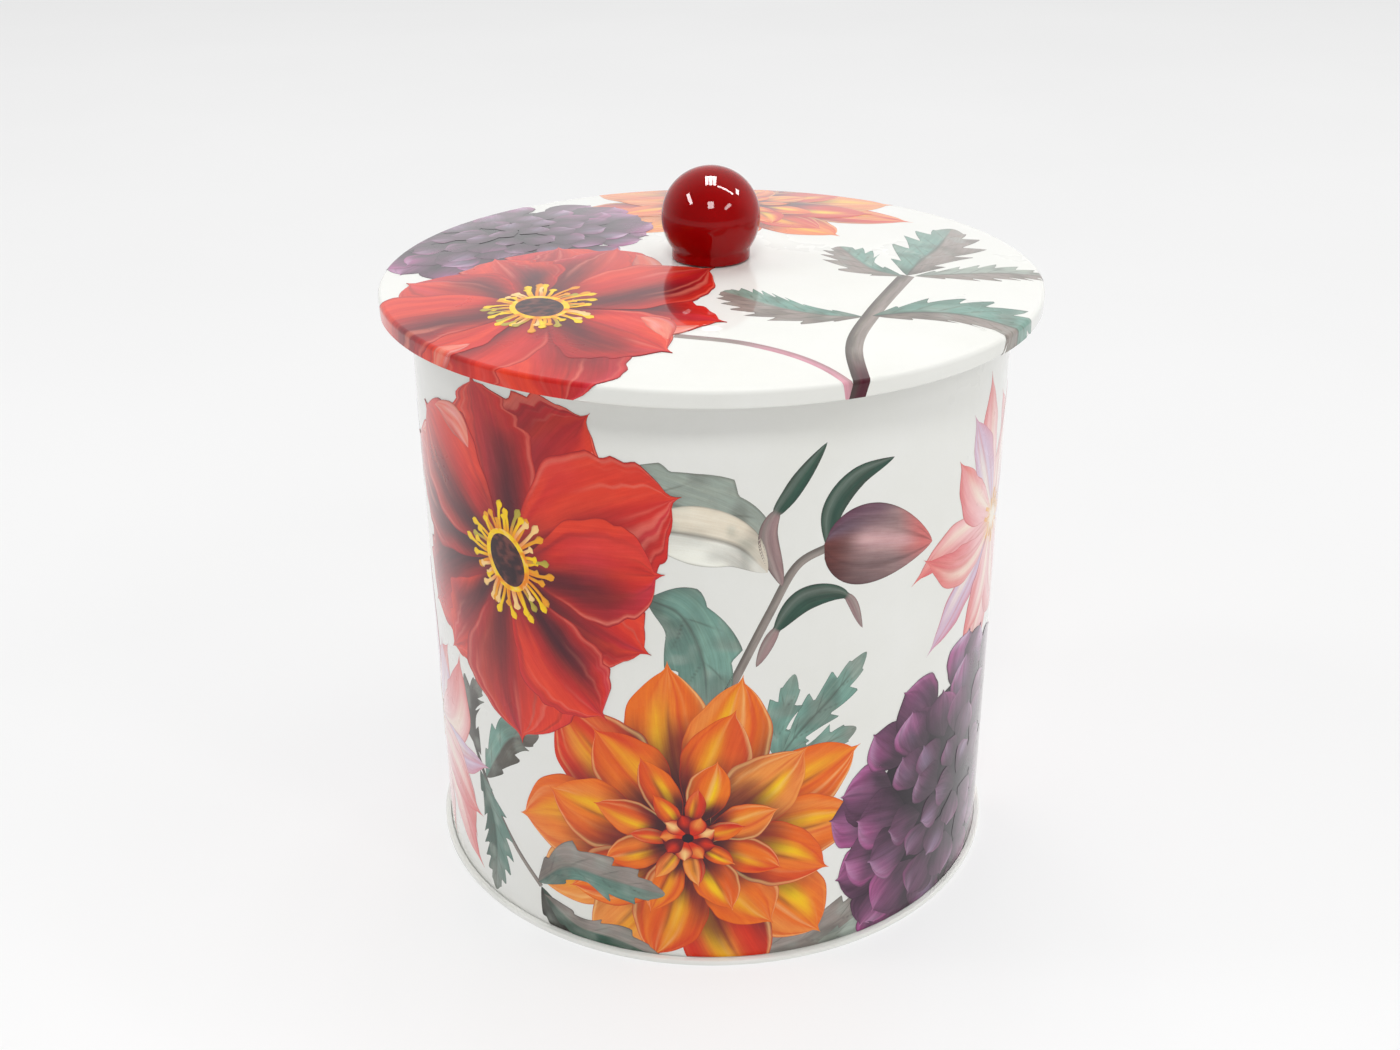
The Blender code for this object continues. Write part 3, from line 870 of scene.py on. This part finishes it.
def purple_dahlia(seed, size=46.0, inner=38, outer=19):
    """A dense ball of cupped petals, darkest inside and paler at the tips of the outer ones."""
    art = Motif(seed)
    random, draw = art.random, art.random.uniform
    art.disc(size * 0.74, size * 0.74, 0, wash(NIGHT))
    for k in range(inner + outer, 0, -1):
        ring = k > inner
        share = 1.0 if ring else (k - 0.5) / inner
        pale, key, s = float(smooth(0.4, 1.0, share)), seed * 200 + k, random.choice((-1, 1))
        sheen = random.choice((0.1, 0.4, 1.0))
        paint = wash(
            PLUM,
            (VIOLET, 0.7 + 0.25 * pale, tip(0.15, 0.70, 0.5, key)),
            (SLATE, 0.7 * sheen, rib(0.3 * s, 0.45), tip(0.25, 0.7)),
            (MAGENTA, 0.25 + 0.70 * pale, tip(0.40, 0.95, 0.4, key + 1), side(-0.6 * s, 0.6 * s)),
            (LAVENDER, 0.25 + 0.6 * pale * sheen, tip(0.60, 1.0, 0.5, key + 2), side(-0.2 * s, 0.8 * s)),
            (NIGHT, 0.8, side(0.1, -1.2 * s), root(0.5, 0.95)),
            (NIGHT, 0.35, hair(9, 1, 0.6, 0.9, key + 3)),
            (MAGENTA, 0.2 + 0.45 * pale, rib(0.88 * s, 0.07), tip(0.3, 0.6)),
            (NIGHT, 0.5, rim(0.05)),
        )
        length = size * (0.40 if ring else 0.23 + 0.15 * share) * draw(0.88, 1.15)
        start = size * (0.62 if ring else 0.68 * share**0.55) - length * 0.35 * (not ring)
        angle = math.tau * k / outer if ring else k * math.pi * (3 - math.sqrt(5))
        art.petal(
            angle + draw(-0.12, 0.12), start, length, length * draw(0.42, 0.56), paint,
            draw(-0.5, 0.5), 0, 1.5, 0.6, 0.03, 0.0016,
        )
    return art


def pink_bloom(seed, size=42.0, petals=18):
    """A loose star of long curling petals, pale with coral tips, over a second ring of lilac ones."""
    art = Motif(seed)
    random, draw = art.random, art.random.uniform
    for k in random.permutation(petals):
        key, lilac, s = seed * 50 + 3 * k, random.random() < 0.3, random.choice((-1, 1))
        paint = wash(
            LAVENDER if lilac else BLUSH,
            (CORAL, 0.2 if lilac else 0.9, tip(0.25, 1.0, 0.5, key)),
            (ROSE, 0.5, side(0.1 * s, 1.2 * s), tip(0.2, 0.5)),
            (CREAM, 0.75, rib(-0.35 * s, 0.3), root(0.4, 0.95)),
            (CORAL * 0.8, 0.45, hair(11, 0.8, 0.6, 0.9, key + 1)),
            (YELLOW, 0.5, root(0.0, 0.22)),
            (ROSE, 0.35, rib(0, 0.05)),
            (CORAL * 0.75, 0.7, rim(0.07)),
        )
        art.petal(
            math.tau * (k + draw(-0.25, 0.25)) / petals, 1.5, size * draw(0.72, 1.1),
            size * draw(0.12, 0.19), paint, draw(-1.1, 1.1), draw(-0.4, 0.4),
            1.2, 0.9, 0.06,
        )
    for k in range(16):
        spine = bent((0, 0), math.tau * k / 16, size * draw(0.1, 0.22), draw(-0.8, 0.8))
        stamen = wash(CREAM, (GOLD, 0.9, tip(0.2, 0.8)))
        art.strip(spine, size * 0.012, size * 0.012, stamen, rise=STAMEN_RISE)
    return art


# ---- leaves, stems and the bud
def leaf(art, points, breadth, upper, lower, teeth=0, depth=0.4, slant=0.9):
    """A leaf with a tone for each side of its midrib and forward-pointing teeth, one per side vein."""
    spine = through(points)
    length = np.linalg.norm(np.diff(spine, axis=0), axis=1).sum()
    u = np.linspace(0, 1, len(spine))
    half = breadth * np.sin(math.pi * u**0.8) ** 0.75
    phase = (u * teeth + 0.25) % 1.0
    saw = np.where(phase < 0.8, phase / 0.8, (1 - phase) / 0.2) if teeth else 1.0
    at_tip = u > 1 - 0.7 / max(teeth, 1)
    half = half * np.where(at_tip, 1 - depth * 0.6 * (teeth > 0), 1 - depth * (1 - saw))
    half[[0, -1]] = 0.0
    key = art.seed + art.count

    def veins(u, v, x, y):
        out = np.abs(v)
        off = ((u * teeth - out * 0.5 + 0.75) % 1.0 - 0.5) * length / max(teeth, 1)
        thin = np.exp(-((off / 0.35) ** 2)) * smooth(0.02, 0.2, out) * (1 - smooth(0.5, 0.85, out))
        return (teeth > 0) * thin

    paint = wash(
        lower, (upper, 1.0, side(-0.04, 0.04)), (SAGE, 0.4, blot(3.5, 0.5, 0.9, key)),
        (IRON, 0.35, blot(5, 0.45, 0.9, key + 1)), (TAUPE, 0.35, tip(0.55, 1.0)),
        (IRON, 0.35, root(0.0, 0.25)), (IRON, 0.45, veins),
        (IRON, 0.55, rib(0, 0.045), root(0.7, 0.95)), (IRON, 0.55, rim(0.07)),
    )
    art.strip(spine, half, half, paint, slant if teeth else 0.0)


def ribbon(art, points, breadth, front, back, twists):
    """A long plain leaf that twists over, changing colour where its underside shows."""
    spine = through(points)
    u = np.linspace(0, 1, len(spine))
    half = breadth * np.sin(math.pi * u**0.9) ** 0.8
    half = half * (0.3 + 0.7 * np.abs(np.cos(math.pi * u * twists)) ** 0.7)
    half[[0, -1]] = 0.0
    turned = lambda u, v, x, y: smooth(-0.08, 0.08, np.cos(math.pi * u * twists))
    paint = wash(
        back, (front, 1.0, turned), (IRON, 0.35, hair(3, 3, 0.45, 0.9, art.count)),
        (SAGE, 0.3, rib(0.4, 0.3)), (IRON, 0.6, rim(0.1)),
    )
    art.strip(spine, half, half, paint)


def stem(art, points, half, tone=TAUPE, dark=IRON, foot=IRON):
    paint = wash(
        tone, (foot, 1.0, root(0.2, 0.4)), (dark, 0.7, side(-0.3, 0.9)),
        (dark, 0.35, hair(2, 9, 0.6, 0.9, art.count)),
    )
    art.strip(through(points), half, half, paint)


def bud_spray(seed):
    """A nodding bud on a bent stem with three ribbon leaves, measured from the stem's foot."""
    art = Motif(seed)
    stem(art, [(-9, -24), (-4, -9), (0, 0), (7, 15), (13.5, 27), (22, 31)], 1.1)
    ribbon(art, [(10, 22), (6.5, 36), (12, 46), (20, 57)], 3.4, MAUVE, PINE, 1)
    ribbon(art, [(21, 30), (22, 40), (28, 47), (38, 50)], 3.0, PINE, MAUVE, 0)
    ribbon(art, [(4, 1), (9, 11), (16, 18), (26, 17), (31, 7)], 3.2, MAUVE, PINE, 2)
    paint = wash(
        COCOA, (MAUVE, 0.95, tip(0.05, 0.4)), (CORAL * 0.9, 0.85, tip(0.5, 1.0, 0.4, seed)),
        (BLUSH, 0.55, rib(0.1, 0.25), tip(0.15, 0.35), root(0.6, 0.9)),
        (VIOLET * 0.8, 0.75, side(0.1, 1.0), root(0.35, 0.6)),
        (UMBER, 0.6, side(0.2, -1.1), root(0.3, 1.0)), (SLATE * 0.7, 0.5, root(0.1, 0.45), rib(0.5, 0.3)),
        (UMBER, 0.35, hair(9, 0.8, 0.6, 0.9, seed)), (UMBER, 0.6, rim(0.05)),
    )
    spine = bent((20, 31.5), -0.17, 33, -0.12)
    half = 10.4 * np.clip(np.sin(math.pi * np.linspace(0, 1, len(spine)) ** 0.66), 0, 1) ** 0.78
    art.strip(spine, half, half, paint)
    return art


def foliage(seed, leaves, stems=()):
    art = Motif(seed)
    for each in stems:
        stem(art, *each)
    for each in leaves:
        leaf(art, *each)
    return art


# ---- the print's layout, in mm
def print_wall(number, shift):
    """One repeat of the wall's pattern. Later motifs lie over earlier ones."""
    seed = 100 * number

    def put(name, art, s, z, turn=0.0, level=0.0):
        lay_print(f"wall_{name}_{number}", art, on_wall, "tin", (s + shift, z), turn, level)

    upper = [
        ([(-14, 8), (2, 3), (16, -3), (26, -14)], 11.0, SAGE * 0.9, SAGE * 0.8, 3, 0.25, 0.4),
        ([(-4, -4), (8, -5), (18, -8), (25, -15)], 7.5, CREAM * 0.9, ink(246, 246, 236), 0),
    ]
    put("upper_leaves", foliage(seed + 1, upper), -6, 128)
    middle = [([(-8, 26), (0, 22), (5, 10), (6, -6)], 10.0, TEAL, TEAL * 0.8, 3, 0.3, 0.3)]
    put("middle_leaf", foliage(seed + 2, middle), -1, 80)
    right = [
        ([(0, 0), (6, 8), (14, 16), (23, 26)], 6.0, TEAL, TEAL, 4, 0.5),
        ([(0, 0), (0, 9), (2, 16), (4, 24)], 4.6, TEAL, TEAL, 3, 0.5),
        ([(0, 0), (8, 1), (14, 3), (21, 5)], 5.0, TEAL, TEAL, 3, 0.5),
    ]
    put("right_leaves", foliage(seed + 3, right), 22, 61)
    put("bud_spray", bud_spray(seed + 4), 12.5, 87)
    low = [
        ([(10, 3), (24, 3), (38, 7), (52, 14)], 8.0, TAUPE, TAUPE * 0.8, 4, 0.35),
        ([(34, 2), (44, 3), (54, 3), (64, 0)], 5.5, SAGE, SAGE * 0.8, 5, 0.5),
        ([(-42, 13), (-38, 6), (-32, 1), (-26, -4)], 5.5, PINE, IRON * 0.5, 3, 0.3),
    ]
    put("low_leaves", foliage(seed + 5, low), 0, 0)
    left = [
        ([(0, 0), (-4, 8), (-3, 16), (3, 24)], 6.5, IRON * 1.4, IRON, 4, 0.6),
        ([(2, -6), (8, 4), (14, 12), (24, 17)], 6.5, TEAL, IRON * 1.5, 4, 0.35),
        ([(-1, -5), (4, -16), (5, -27), (3, -42)], 7.0, TEAL * 0.7, PINE * 1.3, 7, 0.45),
    ]
    put("left_leaves", foliage(seed + 6, left, [([(-4, 4), (4, -10), (13, -22), (22, -31)], 0.8)]), -64, 44)
    far = [
        ([(0, 0), (-3, 12), (-9, 22), (-18, 32)], 8.0, SAGE, TEAL * 0.8, 6, 0.45),
        ([(0, 0), (6, 12), (8, 22), (4, 38)], 8.0, TEAL, PINE * 1.6, 6, 0.45),
        ([(0, -8), (-12, -6), (-22, 0), (-32, 8)], 6.0, TEAL * 0.8, TAUPE, 5, 0.5),
    ]
    put("far_leaves", foliage(seed + 7, far, [([(3, -44), (2, -28), (3, -14), (0, 0)], 1.0)]), -112, 98)
    put("pink_bloom", pink_bloom(seed + 8, 43), 99, 104, 0.3)
    put("left_pink_bloom", pink_bloom(seed + 9, 47), -103, 38, 1.1)
    put("orange_dahlia", orange_dahlia(seed + 11), 0, 39, 0.2, 0.02)
    put("purple_dahlia", purple_dahlia(seed + 10), 82, 31, 0.0, 0.11)
    put("red_bloom", red_bloom(seed + 12), -47, 108, 0.1, 0.11)
    over = [
        ([(0, 0), (10, 9), (22, 9), (37, 7)], 7.5, TAUPE, TEAL * 0.75, 5, 0.35),
        ([(2, -3), (12, -9), (24, -10), (36, -14)], 5.5, TAUPE, PINE * 1.4, 4, 0.35),
    ]
    put("over_leaves", foliage(seed + 13, over), -43, 14, 0.0, 0.13)


def print_lid():
    def put(name, art, x, y, turn=0.0, level=0.0):
        lay_print(f"lid_{name}", art, on_lid, "lid", (x, y), turn, level)

    sprig = [
        ([(39, -40), (29, -40), (18, -36), (5, -27)], 8.5, TAUPE, TEAL, 8, 0.35, 1.2),
        ([(41, -39), (54, -34), (67, -35), (86, -47)], 11.0, TEAL, TAUPE, 9, 0.4, 1.2),
        ([(49, -9), (42, -5), (38, 2), (33, 14)], 8.5, TAUPE, TEAL, 6, 0.45, 1.0),
        ([(52, -8), (64, -3), (74, 1), (87, 3)], 7.0, SAGE, TAUPE, 7, 0.45, 1.2),
        ([(50, -8), (54, 6), (59, 20), (64, 42)], 12.0, TEAL, TAUPE, 5, 0.5, 0.9),
    ]
    stems = [
        ([(-4, -56), (14, -60), (30, -70), (44, -90)], 1.1, ink(206, 150, 164), MAUVE, TAUPE),
        ([(42, -92), (38, -72), (37, -56), (41, -38), (50, -8)], 2.0, TAUPE, IRON, WINE * 1.4),
    ]
    put("sprig", foliage(901, sprig, stems), 0, 0)
    put("orange_dahlia", orange_dahlia(903), 3, 60, 0.5)
    put("purple_dahlia", purple_dahlia(904, 38.0), -56, 22, 0.0, 0.06)
    put("red_bloom", red_bloom(905), -38, -39, 0.4, 0.17)


REPEATS = 2
for number in range(REPEATS):
    print_wall(number + 1, number * 2 * HALF_TURN / REPEATS)
print_lid()


# ---- studio
GLINT_DISTANCE = 2.5
knob_only = bpy.data.collections.new("knob_only")
knob_only.objects.link(bpy.data.objects["ball_knob"])


def length_of(tree, coords):
    return node(tree, "VectorMath", operation="LENGTH", Vector=coords).outputs["Value"]


def make_floor():
    """A pale floor that glows: painted light that fills in the tin's shadow, most in front of the tin. It
    meets the backdrop without an edge.
    """
    bm = bmesh.new()
    bmesh.ops.create_grid(bm, x_segments=2, y_segments=2, size=9.0)
    made, tree, coords = principled("pale_floor", Roughness=0.75, Specular_IOR_Level=0.0)
    shader = tree.nodes["Principled BSDF"]
    soft = noise(tree, coords, 3.0, 3.0, 0.5)
    tree.links.new(mixed(tree, soft, grey(0.30), grey(0.33)), shader.inputs["Base Color"])
    # the glow dims out to 1.8 m from the middle, then brightens again beyond, towards the backdrop
    away = length_of(tree, coords)
    fading = spread(tree, away, 1.0, 0.91, 0.4, 1.8)
    rising = spread(tree, away, 1.0, 1.26, 1.8, 3.6)
    pale = mixed(tree, 1.0, mixed(tree, soft, grey(0.98), grey(1.0)), fading, "MULTIPLY")
    tree.links.new(mixed(tree, 1.0, pale, rising, "MULTIPLY"), shader.inputs["Emission Color"])
    # painted light: the glow is strongest just in front of the tin, where it lightens the tin's shadow
    from_tin_front = node(tree, "Mapping", Vector=coords, Location=(0.0, 0.2, 0.0)).outputs["Vector"]
    glow = spread(tree, length_of(tree, from_tin_front), 0.63, 0.56, 0.05, 0.35)
    tree.links.new(glow, shader.inputs["Emission Strength"])
    floor = add("floor", to_mesh(bm, "floor"))
    floor.data.materials.append(made)


def flat_light(name, width, height, radiance):
    """A rectangular light, as bright as radiance whatever its size."""
    light = bpy.data.lights.new(name, "AREA")
    light.shape = "RECTANGLE"
    light.size, light.size_y = width, height
    light.energy = math.pi * width * height * radiance
    return add(name, light)


def panel(name, direction, distance, width, height, radiance, turn=0.0):
    """A soft light that faces the tin from a direction. Gloss doesn't show it."""
    obj = flat_light(name, width, height, radiance)
    obj.visible_glossy = False
    direction = Vector(direction).normalized()
    obj.location = Vector((0, 0, 0.15)) + direction * distance
    facing = direction.to_track_quat("Z", "Y").to_matrix()
    obj.rotation_euler = (facing @ Matrix.Rotation(math.radians(turn), 3, "Z")).to_euler()


def glint(name, start, end, breadth, radiance):
    """A bright strip between two directions that only the knob's gloss shows: a window pane or a lamp."""
    start, end = Vector(start).normalized() * GLINT_DISTANCE, Vector(end).normalized() * GLINT_DISTANCE
    obj = flat_light(name, breadth, (end - start).length, radiance)
    obj.visible_diffuse = False
    obj.light_linking.receiver_collection = knob_only
    up, out = (end - start).normalized(), (start + end).normalized()
    obj.location = Vector((0, 0, knob_high.z)) + (start + end) / 2
    obj.rotation_euler = Matrix((up.cross(out), up, out)).transposed().to_euler()


def make_light():
    """Daylight from above and behind, a white sweep round the tin, a dim room in front, and knob glints."""
    world = bpy.data.worlds.new("studio")
    bpy.context.scene.world = world
    world.use_nodes = True
    tree = world.node_tree
    background = tree.nodes["Background"]
    split = node(tree, "SeparateXYZ", Vector=node(tree, "TexCoord").outputs["Generated"])
    glow = spread(tree, split.outputs["Y"], 0.28, 0.92, -0.45, 0.30)
    seen = mixed(tree, node(tree, "LightPath").outputs["Is Camera Ray"], glow, grey(0.86))
    tree.links.new(seen, background.inputs["Color"])
    for i in range(3):
        panel(f"window_pane_{i}", ((i - 1) * 0.17, 0.44, 0.90), 4.0, 0.44, 1.05, 6.5)
    panel("strip_right", (0.52, 0.13, 0.84), 2.5, 1.2, 0.18, 9.0, 35)
    panel("panel_left", (-0.73, -0.08, 0.685), 2.5, 0.32, 0.66, 10.0)
    panel("panel_front", (0.0, -0.59, 0.81), 2.5, 0.5, 0.5, 23.0)
    panel("strip_front", (0.62, -0.44, 0.65), 2.5, 0.25, 0.6, 11.0, 30)
    panel("panel_low", (0.1, -0.95, 0.30), 2.5, 1.2, 0.8, 1.3)
    panel("panel_right", (0.95, -0.15, 0.30), 2.5, 0.9, 0.7, 2.5)
    for i in (-1, 0, 1):
        glint(f"pane_glint_{i + 1}", (0.12 * i, -0.04, 1.0), (0.10 * i - 0.03, 0.43, 0.90), 0.24, 50.0)
    glint("strip_glint", (0.22, -0.05, 0.97), (0.71, -0.04, 0.70), 0.20, 50.0)
    glint("spot_glint", (0.78, 0.12, 0.61), (0.70, 0.31, 0.65), 0.28, 45.0)
    glint("left_glint", (-0.71, -0.10, 0.69), (-0.64, -0.54, 0.54), 0.30, 42.0)
    glint("front_glint", (0.07, -0.86, 0.50), (0.05, -0.69, 0.72), 0.60, 30.0)
    glint("right_glint", (0.74, -0.41, 0.53), (0.60, -0.67, 0.43), 0.30, 22.0)


def make_camera():
    """The camera stands a little right of the tin's front and looks down at it."""
    camera = add("camera", bpy.data.cameras.new("camera"))
    camera.data.sensor_width = 36.0
    camera.data.lens = 42.5
    camera.data.clip_start = 0.02
    camera.data.clip_end = 50.0
    tilt_down, turn_left, roll = math.radians(25.91), math.radians(4.93), math.radians(-0.33)
    camera.rotation_mode = "QUATERNION"
    camera.rotation_quaternion = (
        Matrix.Rotation(turn_left, 3, "Z")
        @ Matrix.Rotation(math.pi / 2 - tilt_down, 3, "X")
        @ Matrix.Rotation(roll, 3, "Z")
    ).to_quaternion()
    camera.location = (32.3 * MM, -411.8 * MM, 288.7 * MM)
    bpy.context.scene.camera = camera


make_floor()
make_light()
make_camera()
bpy.context.scene.view_settings.view_transform = "Standard"
